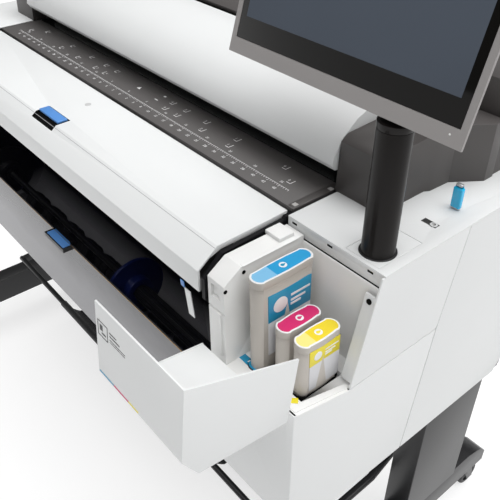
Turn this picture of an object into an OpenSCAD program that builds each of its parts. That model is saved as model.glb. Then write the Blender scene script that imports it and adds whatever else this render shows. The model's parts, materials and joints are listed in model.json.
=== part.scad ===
// Large format plotter with a scanner, on a wheeled stand.
// +X is the operator's right, +Y the back, +Z up. The origin is on the floor, midway between the feet.

/* [Body] */
// Width over the two side panels
body_w = 1403; // [1395:1:1411]
// Height of the deck and the scan tray above the floor
deck_z = 955; // [950:1:960]
// Height of the underside of the body
base_z = 508; // [504:1:512]
// Place of the rear face
back_y = 285; // [280:1:290]
// Thickness of the plastic covers
wall = 3; // [2.5:0.1:3.2]

/* [Front covers] */
// Half of the width of the roll cover and the window
cover_half_w = 506; // [500:1:507]
// Place of the foremost face of the roll cover
front_y = -290.5; // [-292:0.5:-290]
// Height of the underside of the roll cover's front band
band_z = 886; // [884:1:890]
// Height where the window ends and the lower panel starts
window_foot_z = 690; // [684:1:694]
// Place of the lower panel's front face
lower_y = -271.5; // [-273:0.5:-270]

/* [Ink] */
// Width of one ink cartridge
cartridge_w = 29; // [26:0.5:30]
// Distance from one cartridge to the next
cartridge_pitch = 36.5; // [35:0.5:37]
// Height of the base plate round the cartridges
bay_z = 775; // [774:0.5:776]
// Turn of the right ink door, which stands open
door_open = 82; // [0:1:84]

/* [Touch screen] */
// Width of the screen housing
screen_w = 388; // [340:1:388]
// Height of the screen housing along its slope
screen_h = 240; // [200:1:245]
// Lean of the screen
screen_lean = 17; // [12:1:20]
// Radius of the screen's post
post_r = 23; // [20:0.5:24]

/* [Stand] */
// Length of a foot from front to back, over its ends
foot_l = 795; // [760:1:820]
// Distance of a foot from the middle
foot_x = 660; // [640:1:662]
// Radius of a caster's wheel
caster_r = 32; // [28:1:32]
// Height of the basket's front tube
basket_z = 230; // [220:1:240]

/* [Hidden] */

$fn = 48;
white = [0.92, 0.92, 0.91];
dark_grey = [0.25, 0.24, 0.24];
black = [0.05, 0.05, 0.05];
blue = [0.30, 0.55, 0.88];
steel = [0.7, 0.71, 0.72];

// Frame of the body
side_x = body_w / 2;
plate_in_x = 509;
plate_out_x = 516;
housing_x = 519.5;
seam = 1.6;
floor_t = 4;
run_gap = 0.06;
pin_r = 3;

// Front profiles, as [y, z]
chamfer_top = [-256, deck_z - 6];
chamfer_foot = [front_y + 1, deck_z - 32];
cover_back_y = -127;
cover_pivot = [-131, deck_z - 9];
window_top_z = band_z - 5;
window_pivot = [-281, band_z - 8];
window_top_y = front_y + 1;
latch_x = -7;
latch_w = 74;
latch_y = [-251, -230.5];
tab_y = [-288, -267];
tab_z = window_foot_z - 6;
frame_x = 41;
frame_z = [tab_z - 5, tab_z + 4];

// Housing profiles, as [y, z]
panel_top_y = -142;
panel_foot = [-182, bay_z + 8];
top_front_y = -137.5;
lower_z = bay_z - seam;
nose_x = 686;
nose_back_y = -181;
seam_top_y = 45.5;
seam_mid = [14.5, 781];
seam_foot_y = -18;
rear_chamfer = 24;

// Ink bays
slot_right_x = 656.5;
big_h = 193;
small_h = 123;
cartridge_z = 745;
big_y = [-260, -155];
small_y = [-244, -170];
tower_x = [519.5, 555];
tower_front_y = -284;
tower_z = deck_z - 14;
sill_x = [534, nose_x - 16];
hinge = [-304.5, 786];
hinge_r = 6.5;

// Roll, paper path and carriage
spindle = [-200, 615];
spindle_r = 15;
hub_r = 66;
hub_x = [-465, 145];
roller_axis = [-174, 548];
feed_axis = [-132, 828];
feed_r = 12;
pinch_r = 6;
pinch_axis = [feed_axis[0], feed_axis[1] + feed_r + pinch_r + 0.2];
rail_y = [-110, -78];
rail_z = [878, 922];
pulley_x = 478;
pulley_r = 9;
pulley_z = 900;
belt_y = [-130, -122];

// Scanner
scan_half_w = 512;
hood_pivot = [110, deck_z + 122];
hood_front = [-40, deck_z + 34];
cap_x = 603;
glass_y = [-20, 42];
scan_axis = [12, deck_z + 15.5];

// Screen
post_x = 657;
post_y = -102.5;
lid_x = [626, 685];
lid_back_y = -45;
post_foot_z = 876;
post_top_z = deck_z + 180;
screen_x = 566;
screen_foot = [-124.5, deck_z + 197];
screen_t = 18;
bezel_side = 9;
bezel_foot = 21;
tilt_pivot = [-56, deck_z + 310];
button = [668, 1.5];
usb = [662, 59.5];

// Stand
tube_t = 3;
arm_w = 50;
arm_z = [88, 165];
caster_y = foot_l / 2 - 42;
caster_trail = 22;
wheel_w = 26;
stem_r = 6;
leg_x = [634, 690];
leg_y = [78, 255];
brace_y = [136, 196];
brace_z = [262, 322];
basket_y = -179.5;
tube_r = 7;
basket_back = [150, 470];
basket_arm_x = 606;
cloth_half_w = 345;
hem_r = 10;
cloth_t = 3;

// Box between two corners
module block(x, y, z) {
    translate([x[0], y[0], z[0]])
        cube([x[1] - x[0], y[1] - y[0], z[1] - z[0]]);
}

// Outline of [y, z] points drawn out from x[0] to x[1]
module along_x(x) {
    translate([x[0], 0, 0])
        rotate([90, 0, 90])
            linear_extrude(x[1] - x[0])
                children();
}

// Round bar along X through a point [y, z]
module bar_x(at, r, x) {
    translate([x[0], at[0], at[1]])
        rotate([0, 90, 0])
            cylinder(r = r, h = x[1] - x[0]);
}

// Turns what it holds about an X axis through a point [y, z]
module turned_x(at, angle) {
    translate([0, at[0], at[1]])
        rotate([angle, 0, 0])
            translate([0, -at[0], -at[1]])
                children();
}

// Draws a shape and its mirror image on the left
module both_sides() {
    children();
    mirror([1, 0, 0])
        children();
}

// ---------------------------------------------------------------- stand

module foot_arms() {
    end_y = foot_l / 2;
    color(black)
        both_sides()
            difference() {
                along_x([foot_x - arm_w / 2, foot_x + arm_w / 2])
                    polygon([
                        [-end_y, arm_z[0]], [-end_y, arm_z[0] + 34], [-end_y + 28, arm_z[1] - 14],
                        [-end_y + 75, arm_z[1]], [end_y - 75, arm_z[1]], [end_y - 28, arm_z[1] - 14],
                        [end_y, arm_z[0] + 34], [end_y, arm_z[0]]
                    ]);
                for (y = [-caster_y, caster_y])
                    translate([foot_x, y, arm_z[0] - 1])
                        cylinder(r = stem_r + run_gap, h = 42);
                block(
                    [foot_x - arm_w / 2 + tube_t, foot_x + arm_w / 2 - tube_t],
                    [24 - caster_y, caster_y - 24],
                    [arm_z[0] - 1, arm_z[1] - tube_t]
                );
            }
}

module stand_legs() {
    color(black)
        both_sides()
            difference() {
                block(leg_x, leg_y, [arm_z[1], base_z]);
                block(
                    [leg_x[0] + tube_t, leg_x[1] - tube_t],
                    [leg_y[0] + tube_t, leg_y[1] - tube_t],
                    [arm_z[1] - 1, base_z + 1]
                );
            }
}

module leg_brace() {
    color(black)
        difference() {
            block([-leg_x[0], leg_x[0]], brace_y, brace_z);
            block(
                [-leg_x[0] - 1, leg_x[0] + 1],
                [brace_y[0] + tube_t, brace_y[1] - tube_t],
                [brace_z[0] + tube_t, brace_z[1] - tube_t]
            );
        }
}

module basket_frame() {
    color(black) {
        bar_x([basket_y, basket_z], tube_r, [-618, 618]);
        bar_x(basket_back, tube_r, [-leg_x[0], leg_x[0]]);
        both_sides()
            along_x([basket_arm_x - 6, basket_arm_x + 6])
                polygon([
                    [basket_y, basket_z - 10], [basket_y, basket_z + 10], [50, basket_z + 24],
                    [brace_y[0], brace_z[0] + 40], [brace_y[0], brace_z[0] + 16], [60, basket_z + 4]
                ]);
    }
}

// Sagging cloth between the two tubes, with a sleeve round the front one
module basket_cloth() {
    sag_z = 176;
    color(black)
        along_x([-cloth_half_w, cloth_half_w])
            difference() {
                union() {
                    polygon([
                        [basket_y + 3, basket_z - 8.5], [-150, 190], [-95, sag_z], [20, sag_z - 6],
                        [88, 212], [118, 330], [150, basket_back[1] - 8.5],
                        [150 - cloth_t, basket_back[1] - 8.5], [115 - cloth_t, 331], [85, 214 + cloth_t],
                        [19, sag_z - 6 + cloth_t], [-94, sag_z + cloth_t], [-147, 190 + cloth_t],
                        [basket_y + 7.5, basket_z - 5]
                    ]);
                    translate([basket_y, basket_z])
                        circle(hem_r);
                }
                translate([basket_y, basket_z])
                    circle(tube_r + 0.3);
            }
}

module caster_fork(x, y) {
    top_z = arm_z[0] - 0.5;
    cheek = wheel_w / 2 + 1;
    color(black)
        translate([x, y, 0]) {
            translate([0, 0, top_z - 8])
                cylinder(r = 22, h = 8);
            translate([0, 0, top_z - 1])
                cylinder(r = stem_r, h = 38);
            for (x0 = [cheek, -cheek - 4])
                along_x([x0, x0 + 4])
                    polygon([
                        [caster_trail - 9, caster_r - 8], [caster_trail + 9, caster_r - 8],
                        [18, top_z - 6], [-18, top_z - 6]
                    ]);
            bar_x([caster_trail, caster_r], 5, [-cheek - 4, cheek + 4]);
        }
}

module caster_wheel(x, y) {
    color(dark_grey)
        translate([x, 0, 0])
            difference() {
                bar_x([y + caster_trail, caster_r], caster_r, [-wheel_w / 2, wheel_w / 2]);
                bar_x([y + caster_trail, caster_r], 5 + run_gap, [-wheel_w, wheel_w]);
            }
}

module caster_fork_front_left() caster_fork(-foot_x, -caster_y);
module caster_fork_front_right() caster_fork(foot_x, -caster_y);
module caster_fork_rear_left() caster_fork(-foot_x, caster_y);
module caster_fork_rear_right() caster_fork(foot_x, caster_y);
module caster_wheel_front_left() caster_wheel(-foot_x, -caster_y);
module caster_wheel_front_right() caster_wheel(foot_x, -caster_y);
module caster_wheel_rear_left() caster_wheel(-foot_x, caster_y);
module caster_wheel_rear_right() caster_wheel(foot_x, caster_y);

// ---------------------------------------------------------------- body frame

// Floor of the body, with the shelf that holds the screen's post
module chassis_floor() {
    color(steel) {
        block([-nose_x + 6, nose_x - 6], [-262, nose_back_y + 5], [base_z, base_z + floor_t]);
        block([-side_x + wall + 0.5, side_x - wall - 0.5], [nose_back_y + 4, back_y - 3.5], [base_z, base_z + floor_t]);
        difference() {
            block([plate_out_x, side_x - 8], [-128, -70], [post_foot_z - 6, post_foot_z]);
            translate([post_x, post_y, post_foot_z - 10])
                cylinder(r = 6, h = 20);
        }
    }
}

// Two inner side plates, drilled for the pivots and shafts between them
module side_plates() {
    color(black)
        both_sides()
            difference() {
                along_x([plate_in_x, plate_out_x])
                    polygon([
                        [-262, base_z + floor_t], [-264, 690], [-277, 860], [-287, window_top_z - 6],
                        [-287, 912], [-254, deck_z - 14], [-142, deck_z - 8], [-138, deck_z - 4.2],
                        [-123, deck_z - 4.2], [-123, deck_z - 7.5], [back_y - 15, deck_z - 7.5],
                        [back_y - 15, base_z + floor_t]
                    ]);
                for (axis = [cover_pivot, window_pivot])
                    bar_x(axis, pin_r + run_gap, [plate_in_x - 1, plate_out_x + 1]);
                bar_x(spindle, spindle_r / 2 + run_gap, [plate_in_x - 1, plate_out_x + 1]);
                bar_x(roller_axis, pin_r + run_gap, [plate_in_x - 1, plate_out_x + 1]);
                bar_x(feed_axis, 6 + run_gap, [plate_in_x - 1, plate_out_x + 1]);
                bar_x(pinch_axis, 2.5 + run_gap, [plate_in_x - 1, plate_out_x + 1]);
            }
}

module rear_cover() {
    color(white)
        difference() {
            block([-side_x + wall + 0.3, side_x - wall - 0.3], [back_y - wall, back_y], [base_z + floor_t, deck_z - wall]);
            for (i = [-6 : 6])
                block([i * 60 - 22, i * 60 + 22], [back_y - wall - 1, back_y + 1], [600, 606]);
            block([560, 640], [back_y - wall - 1, back_y + 1], [560, 640]);
        }
}

// Power inlet and network socket in the rear cover
module inlet_panel() {
    color(black)
        difference() {
            block([560.3, 639.7], [back_y - 28, back_y], [560.3, 639.7]);
            block([572, 600], [back_y - 22, back_y + 1], [582, 606]);
            block([612, 628], [back_y - 22, back_y + 1], [586, 600]);
        }
}

// Side panel in front of the slanted seam, with a return along its slanted front edge
module upper_side_panel() {
    foot_y = panel_foot[0] + 1.5;
    along_x([side_x - wall, side_x])
        polygon([
            [panel_top_y, deck_z - wall], [foot_y, lower_z + seam], [10.5, lower_z + seam],
            [seam_mid[0] - seam, seam_mid[1]], [seam_top_y - seam, deck_z - wall]
        ]);
    along_x([side_x - 21, side_x - wall])
        polygon([
            [panel_top_y - 5, deck_z - 34], [foot_y + 3, panel_foot[1]],
            [foot_y + 3 + wall, panel_foot[1]], [panel_top_y - 5 + wall, deck_z - 34]
        ]);
}

module upper_side_panels() {
    color(white)
        both_sides()
            upper_side_panel();
}

module rear_side_panels() {
    color(white)
        both_sides()
            along_x([side_x - wall, side_x])
                polygon([
                    [seam_top_y, deck_z - wall], seam_mid, [seam_foot_y, base_z],
                    [back_y - rear_chamfer, base_z], [back_y - 8, base_z + 32], [back_y, base_z + 60],
                    [back_y, deck_z - wall]
                ]);
}

// Corner panel under the ink bay: its side turns inwards towards the front
module lower_panel() {
    front = lower_y;
    difference() {
        translate([0, 0, base_z])
            linear_extrude(lower_z - base_z)
                difference() {
                    polygon([
                        [plate_out_x + 1, front], [nose_x, front], [side_x, nose_back_y], [side_x, 16],
                        [plate_out_x + 1, 16]
                    ]);
                    polygon([
                        [plate_out_x, front + wall], [nose_x - 2, front + wall], [side_x - wall, nose_back_y + 1],
                        [side_x - wall, 17], [plate_out_x, 17]
                    ]);
                }
        along_x([side_x - 10, side_x + 1])
            polygon([
                seam_mid - [seam, 0], [seam_foot_y - seam, base_z - 1], [40, base_z - 1], [40, seam_mid[1]]
            ]);
        block([sill_x[0] - 1, sill_x[1] + 1], [front - 1, front + wall + 1], [bay_z - 17, bay_z]);
    }
}

module lower_panels() {
    color(white)
        both_sides()
            lower_panel();
}

// Deck plate with a front lip
module top_cover() {
    block([housing_x, side_x], [top_front_y, back_y], [deck_z - wall, deck_z]);
    block([housing_x, side_x - wall - 0.5], [top_front_y, top_front_y + wall], [deck_z - 22, deck_z - 1]);
}

module left_top_cover() {
    color(white)
        mirror([1, 0, 0])
            top_cover();
}

module right_top_cover() {
    color(white)
        difference() {
            top_cover();
            block([lid_x[0] - 0.4, lid_x[1] + 0.4], [-132, lid_back_y + 0.4], [deck_z - wall - 1, deck_z + 1]);
            for (x = [532.6, 602.7, 676])
                block([x - 5, x + 5], [top_front_y - 1, top_front_y + wall + 1], [deck_z - 10, deck_z - 6]);
            translate([button[0], button[1], deck_z - wall - 1])
                cylinder(r = 4.6, h = wall + 2);
            block([usb[0] - 6.3, usb[0] + 6.3], [usb[1] - 2.6, usb[1] + 2.6], [deck_z - wall - 1, deck_z + 1]);
        }
}

// Inset plate round the foot of the post
module post_lid() {
    color(white)
        difference() {
            block(lid_x, [-131.6, lid_back_y], [deck_z - wall, deck_z]);
            translate([post_x, post_y, deck_z - wall - 1])
                cylinder(r = post_r + 3, h = wall + 2);
        }
}

// ---------------------------------------------------------------- ink

function slot_x(i) = slot_right_x - (2 - i) * cartridge_pitch;

// Outline of a cartridge, as [y, z]: its front leans back towards the foot
module cartridge_side(y, height, slack) {
    polygon([
        [y[0] - slack, cartridge_z + height], [y[0] + height * 0.025 - slack, cartridge_z],
        [y[1] + slack, cartridge_z], [y[1] + slack, cartridge_z + height]
    ]);
}

module cartridge(i, y, height) {
    along_x([slot_x(i) - cartridge_w / 2, slot_x(i) + cartridge_w / 2])
        cartridge_side(y, height, 0);
}

module cyan_cartridge() {
    color([0.1, 0.6, 0.85])
        cartridge(0, big_y, big_h);
}

module magenta_cartridge() {
    color([0.85, 0.1, 0.45])
        cartridge(1, small_y, small_h);
}

module yellow_cartridge() {
    color([0.95, 0.85, 0.2])
        cartridge(2, small_y, small_h);
}

module left_cartridges() {
    color(dark_grey)
        mirror([1, 0, 0]) {
            cartridge(0, big_y, big_h);
            cartridge(1, small_y, small_h);
            cartridge(2, small_y, small_h);
        }
}

// Base plate with three wells, the tower beside it, the back wall and the hinge lugs of the door
module ink_bay() {
    well_y = [[big_y[0] + 3, big_y[1]], small_y, small_y];
    difference() {
        translate([0, 0, cartridge_z - 15])
            linear_extrude(bay_z - cartridge_z + 15)
                polygon([
                    [tower_x[1] - 2, -141], [tower_x[1] - 2, tower_front_y + 18], [nose_x - 4, tower_front_y + 18],
                    [side_x - wall - 1.5, nose_back_y], [side_x - wall - 1.5, -141]
                ]);
        for (i = [0 : 2])
            block(
                [slot_x(i) - cartridge_w / 2 - 2.5, slot_x(i) + cartridge_w / 2 + 2.5],
                [well_y[i][0] - 3, well_y[i][1] + 3],
                [cartridge_z - 0.4, bay_z + 1]
            );
    }
    block([tower_x[0], side_x - wall - 1], [-141, -138], [cartridge_z - 15, deck_z - 24]);
    along_x(tower_x)
        polygon([
            [-140, cartridge_z - 15], [-140, tower_z], [-254, tower_z], [tower_front_y, tower_z - 20],
            [tower_front_y, bay_z + 0.3], [tower_front_y + 18, bay_z + 0.3], [tower_front_y + 18, cartridge_z - 15]
        ]);
    bay_sill();
}

// Sill in front of the base plate that carries the door's hinge pin
module bay_sill() {
    along_x(sill_x)
        polygon([
            [tower_front_y + 19, bay_z - 16], [tower_front_y + 19, bay_z], [-296, bay_z],
            [-304.5, bay_z + 1], [-304.5, bay_z - 4], [-296, bay_z - 7]
        ]);
    for (x = [[536, 546], [586, 596], [654, 664]])
        difference() {
            union() {
                bar_x(hinge, hinge_r, x);
                along_x(x)
                    polygon([[-311, hinge[1]], [-298, hinge[1]], [-296, bay_z - 2], [-308, bay_z - 2]]);
            }
            bar_x(hinge, pin_r, [x[0] - 1, x[1] + 1]);
        }
    bar_x(hinge, pin_r, [sill_x[0], sill_x[1] - 4]);
}

module right_ink_bay() {
    color(white)
        ink_bay();
}

module left_ink_bay() {
    color(white)
        mirror([1, 0, 0])
            ink_bay();
}

// Ink door in its closed place
module ink_door() {
    skin = 2.5;
    door_foot_z = bay_z + 8;
    back = [panel_top_y - 1.5, deck_z - 1];
    along_x([housing_x + 0.5, side_x - skin + 0.01])
        polygon([
            back, chamfer_top, chamfer_foot, [front_y + 1, door_foot_z],
            [front_y + 1 + skin, door_foot_z], [front_y + 1 + skin, chamfer_foot[1] - 1],
            [chamfer_top[0] + 1, chamfer_top[1] - skin - 0.3], [back[0], back[1] - skin]
        ]);
    along_x([side_x - skin, side_x])
        polygon([back, chamfer_top, chamfer_foot, [front_y + 1, door_foot_z], [panel_foot[0] - 2, door_foot_z]]);
    along_x([housing_x + 0.5, housing_x + 3])
        polygon([
            [-150, deck_z - 3], [chamfer_top[0] + 1, chamfer_top[1] - skin], [front_y + 1 + skin, chamfer_foot[1] - 1],
            [front_y + 1 + skin, door_foot_z], [front_y + 4.6, door_foot_z], [front_y + 4.6, chamfer_foot[1] - 1],
            [chamfer_top[0] + 1, chamfer_top[1] - 4.4], [-150, deck_z - 5]
        ]);
    for (x = [[547, 563], [637, 653]])
        difference() {
            union() {
                bar_x(hinge, hinge_r, x);
                along_x(x)
                    polygon([
                        [hinge[0] + 2, hinge[1] - 6.2], [hinge[0] - 2, hinge[1] + 6.2],
                        [front_y + 2, door_foot_z + 14], [front_y + 2, door_foot_z]
                    ]);
            }
            bar_x(hinge, pin_r + run_gap, [x[0] - 1, x[1] + 1]);
        }
}

module left_ink_door() {
    color(white)
        mirror([1, 0, 0])
            ink_door();
}

module right_ink_door() {
    color(white)
        turned_x(hinge, door_open)
            ink_door();
}

// ---------------------------------------------------------------- front covers

// Lid over the print area: a top, a chamfer and a front band, with a rib and a pivot pin at each end
module roll_cover() {
    inner = [
        [front_y + wall, band_z], [front_y + wall + 0.5, chamfer_foot[1] - 1.5],
        [chamfer_top[0] + 1.5, chamfer_top[1] - wall], [cover_back_y, deck_z - 3 - wall]
    ];
    color(white) {
        difference() {
            along_x([-cover_half_w, cover_half_w])
                polygon(concat(
                    inner,
                    [[cover_back_y, deck_z - 3], chamfer_top, chamfer_foot, [front_y, band_z + 36], [front_y, band_z]]
                ));
            block(
                [latch_x - latch_w / 2 - 3, latch_x + latch_w / 2 + 3],
                [-266, latch_y[1] + 3],
                [deck_z - 20, deck_z + 1]
            );
        }
        cover_latch_pocket();
        both_sides() {
            along_x([cover_half_w - 3, cover_half_w])
                polygon([
                    [cover_pivot[0] - 5, cover_pivot[1] - 5], [cover_pivot[0] + 3.5, cover_pivot[1] - 5],
                    [cover_pivot[0] + 3.5, deck_z - 4], chamfer_top + [0, -1], [-268, deck_z - 20],
                    [-250, deck_z - 14]
                ]);
            bar_x(cover_pivot, pin_r, [cover_half_w - 1, plate_out_x - 1]);
        }
    }
}

// Black recess under the latch
module cover_latch_pocket() {
    half = latch_w / 2 + 6;
    along_x([latch_x - half, latch_x + half])
        polygon([
            [latch_y[1] + 6, deck_z - 7], [latch_y[1] + 6, deck_z - 12], [-256, deck_z - 16], [-272, deck_z - 25],
            [-270, deck_z - 18.5], [-256, deck_z - 10.5]
        ]);
}

module cover_latch() {
    color(blue)
        block(
            [latch_x - latch_w / 2, latch_x + latch_w / 2],
            latch_y,
            [deck_z - 6.6, deck_z - 2]
        );
}

// Tinted window, with pivot ears at its top corners and the black frame of its latch
module roll_window() {
    foot_y = lower_y;
    color([0.12, 0.12, 0.14, 0.6]) {
        both_sides() {
            along_x([cover_half_w - 3, cover_half_w])
                polygon([
                    [window_top_y + 1, window_top_z - 1], [window_pivot[0] + 5, window_top_z - 1],
                    [window_pivot[0] + 5, window_pivot[1] - 6], [window_top_y + 4, window_pivot[1] - 20]
                ]);
            bar_x(window_pivot, pin_r, [cover_half_w - 1, plate_out_x - 1]);
        }
        difference() {
            union() {
                along_x([-cover_half_w, cover_half_w])
                    polygon([
                        [window_top_y, window_top_z], [foot_y, window_foot_z + 2],
                        [foot_y + wall, window_foot_z + 2], [window_top_y + wall, window_top_z]
                    ]);
                block([latch_x - frame_x, latch_x + frame_x], [tab_y[0] - 3, tab_y[1] + 5], frame_z);
                block([latch_x - frame_x, latch_x + frame_x], [foot_y, tab_y[1] + 5], [frame_z[1] - 1, frame_z[1] + 11]);
            }
            block([latch_x - 36.5, latch_x + 36.5], tab_y + [-0.5, 0.5], [tab_z - 2.5, frame_z[1] + 9]);
        }
    }
}

module window_latch() {
    color(blue)
        block([latch_x - 36, latch_x + 36], tab_y, [tab_z, tab_z + 4.5]);
}

module lower_front_panel() {
    color([0.5, 0.5, 0.52])
        difference() {
            block([-cover_half_w, cover_half_w], [lower_y, lower_y + wall], [base_z - 3, window_foot_z]);
            block(
                [latch_x - frame_x - 1, latch_x + frame_x + 1],
                [lower_y - 1, lower_y + wall + 1],
                [frame_z[0] - 1, window_foot_z + 1]
            );
        }
}

// ---------------------------------------------------------------- roll and paper path

// Thin wall that closes the bay behind the roll
module roll_bay_liner() {
    color(black)
        along_x([-plate_in_x, plate_in_x])
            polygon([
                [-101, 806], [-92, 760], [-86, 690], [-84, 615], [-92, 560], [-112, 530], [-140, base_z + floor_t],
                [-132, base_z + floor_t], [-109, 527.5], [-89.2, 559], [-81, 615], [-83, 690], [-89, 760], [-98, 806]
            ]);
}

module roll_spindle() {
    color(black) {
        bar_x(spindle, spindle_r, [-plate_in_x + 4, hub_x[0] + 24]);
        bar_x(spindle, spindle_r, [hub_x[1] - 24, plate_in_x - 4]);
        bar_x(spindle, spindle_r / 2, [-plate_out_x + 0.5, plate_out_x - 0.5]);
    }
}

module roll_hubs() {
    color([0.05, 0.08, 0.3])
        for (x = hub_x)
            difference() {
                union() {
                    bar_x(spindle, hub_r, [x - 4, x + 4]);
                    bar_x(spindle, 30, [x - 22, x + 22]);
                }
                bar_x(spindle, spindle_r + 0.02, [x - 30, x + 30]);
            }
}

// Ribbed rollers that carry the paper at the foot of the roll bay
module support_rollers() {
    color(dark_grey) {
        bar_x(roller_axis, pin_r + 2, [-plate_in_x + 4, plate_in_x - 4]);
        bar_x(roller_axis, pin_r, [-plate_out_x + 0.5, plate_out_x - 0.5]);
        both_sides()
            for (x = [27, 110, 200, 290, 380])
                for (k = [0 : 3])
                    bar_x(roller_axis, k % 2 == 0 ? 24 : 22, [x - 24 + k * 12, x - 12 + k * 12]);
    }
}

module platen() {
    color(black) {
        block([-500, 500], [-240, -146], [836, 842]);
        for (y = [-236, -200, -162])
            block([-500, 500], [y, y + 4], [812, 837]);
        both_sides()
            block([500, plate_in_x], [-240, -160], [812, 842]);
    }
}

module feed_roller() {
    color(steel) {
        bar_x(feed_axis, feed_r, [-500, 500]);
        bar_x(feed_axis, 6, [-plate_out_x + 0.5, plate_out_x - 0.5]);
    }
}

module pinch_rollers() {
    color(dark_grey) {
        bar_x(pinch_axis, 2.5, [-plate_out_x + 0.5, plate_out_x - 0.5]);
        for (i = [0 : 11])
            translate([-462 + i * 84, 0, 0])
                bar_x(pinch_axis, pinch_r, [-20, 20]);
    }
}

module carriage_rail() {
    color(steel) {
        difference() {
            block([-plate_in_x, plate_in_x], rail_y, rail_z);
            block([-plate_in_x - 1, plate_in_x + 1], [rail_y[0] + 6, rail_y[1] - 6], [rail_z[0] + 6, rail_z[1] - 6]);
        }
        both_sides()
            translate([pulley_x, rail_y[0] + 1, pulley_z])
                rotate([90, 0, 0])
                    cylinder(r = pin_r, h = 22);
    }
}

// Carriage with its print heads; the belt passes through the arm behind
module print_carriage() {
    half = 78;
    color(dark_grey)
        difference() {
            union() {
                block([-half, half], [-234, -150], [850, 926]);
                block([-half + 12, half - 12], [-226, -158], [844, 851]);
                block([-40, 40], [-151, rail_y[0] - 0.3], [876, 928]);
                block([-40, 40], [rail_y[0] - 1, rail_y[1] - 4], [rail_z[1] + 0.3, 928]);
            }
            block([-41, 41], [belt_y[0] - 1.5, belt_y[1] + 1.5], [886, 914]);
        }
}

module belt_outline(r) {
    for (s = [-1, 1])
        translate([s * pulley_x, pulley_z])
            circle(r);
    translate([-pulley_x, pulley_z - r])
        square([2 * pulley_x, 2 * r]);
}

module carriage_belt() {
    color(black)
        translate([0, belt_y[1] - 1, 0])
            rotate([90, 0, 0])
                linear_extrude(6)
                    difference() {
                        belt_outline(pulley_r + 1.6);
                        belt_outline(pulley_r + 0.2);
                    }
}

module pulley(x) {
    color(steel)
        translate([x, belt_y[1], pulley_z])
            rotate([90, 0, 0])
                difference() {
                    cylinder(r = pulley_r, h = belt_y[1] - belt_y[0]);
                    translate([0, 0, -1])
                        cylinder(r = pin_r + run_gap, h = 20);
                }
}

module drive_pulley() pulley(pulley_x);
module idler_pulley() pulley(-pulley_x);

// ---------------------------------------------------------------- scanner

module scan_tray() {
    color(dark_grey) {
        block([-scan_half_w, scan_half_w], [-121.5, glass_y[0] - 1], [deck_z - 7, deck_z]);
        block([-scan_half_w, scan_half_w], [glass_y[1] + 1, hood_pivot[0]], [deck_z - 7, deck_z]);
    }
}

// Line of image sensors under a glass strip
module scan_bar() {
    color(black)
        block([-scan_half_w + 4, scan_half_w - 4], glass_y, [deck_z - 40, deck_z]);
}

module scan_roller() {
    color(white) {
        bar_x(scan_axis, 14, [-478, 478]);
        bar_x(scan_axis, 4, [-510, 510]);
    }
}

// Front cover of the scanner; it turns up about its rear edge
module scan_hood() {
    outer = [
        hood_front, [-47, deck_z + 44], [-44, deck_z + 60], [-28, deck_z + 84], [0, deck_z + 106],
        [40, deck_z + 122], [hood_pivot[0] - 2, deck_z + 130]
    ];
    inner = [
        [hood_pivot[0] - 2, deck_z + 126], [40, deck_z + 118], [2, deck_z + 102.5], [-25, deck_z + 81],
        [-40.5, deck_z + 58], [-43, deck_z + 45], [-38, deck_z + 38], [-20, deck_z + 36], [-20, deck_z + 33]
    ];
    color(white) {
        along_x([-scan_half_w - 1, scan_half_w + 1])
            polygon(concat(outer, inner));
        both_sides()
            difference() {
                along_x([scan_half_w - 3, scan_half_w + 1])
                    polygon([
                        [-44.5, deck_z + 45], [-42, deck_z + 59], [-26.5, deck_z + 82.5], [1, deck_z + 104],
                        [40, deck_z + 120], [hood_pivot[0] - 3, deck_z + 127], [hood_pivot[0] + 6, deck_z + 126],
                        [hood_pivot[0] + 6, deck_z + 113], [60, deck_z + 50], [-20, deck_z + 34.5],
                        [-39, deck_z + 35.5]
                    ]);
                bar_x(hood_pivot, pin_r + run_gap, [scan_half_w - 5, scan_half_w + 2]);
            }
    }
}

// Grey end pieces of the scanner, which hold the roller's bearings and the hood's pivots
module scan_end_cap() {
    x = [scan_half_w + 2.5, cap_x];
    difference() {
        union() {
            along_x(x)
                polygon([
                    [-38, deck_z], [-33.5, deck_z + 81], [-20, deck_z + 90], [120, deck_z + 96],
                    [180, deck_z + 96], [180, deck_z]
                ]);
            translate([0, 0, deck_z])
                linear_extrude(96)
                    polygon([[x[1] - 1, 60], [x[1] + 5, 70], [x[1] + 7, 112], [643, 158], [643, 180], [x[1] - 1, 180]]);
        }
        along_x([x[0] + 4, x[1] - 4])
            polygon([
                [-32, deck_z - 1], [-28, deck_z + 76], [-16, deck_z + 85], [176, deck_z + 91], [176, deck_z - 1]
            ]);
    }
    bar_x(hood_pivot, pin_r, [scan_half_w - 9, x[0] + 4]);
    along_x([x[0], x[0] + 6])
        polygon([
            [60, deck_z + 88], [hood_pivot[0] - 12, hood_pivot[1] + 6], [hood_pivot[0] + 60, hood_pivot[1] + 6],
            [178, deck_z + 90]
        ]);
    difference() {
        block([501, x[0] + 1], [-6, 30], [deck_z + 0.5, deck_z + 32]);
        bar_x(scan_axis, 4 + run_gap, [500, 511]);
    }
}

module scan_end_caps() {
    color(dark_grey)
        both_sides()
            scan_end_cap();
}

// Output stacker behind the scanner: a top tray between two dark arms
module stacker() {
    color(dark_grey) {
        both_sides()
            along_x([scan_half_w + 2.5, 640])
                polygon([
                    [184, deck_z], [184, deck_z + 150], [200, deck_z + 168], [back_y - 20, deck_z + 168],
                    [back_y, deck_z + 150], [back_y, deck_z]
                ]);
        along_x([-scan_half_w - 3, scan_half_w + 3])
            polygon([
                [back_y, deck_z - wall + 0.3], [back_y, deck_z + 150], [back_y - 20, deck_z + 150],
                [hood_pivot[0] + 9, deck_z + 134], [hood_pivot[0] + 9, deck_z + 128], [back_y - 12, deck_z + 142],
                [back_y - 6, deck_z + 142], [back_y - 6, deck_z - wall + 0.3]
            ]);
    }
}

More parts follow.
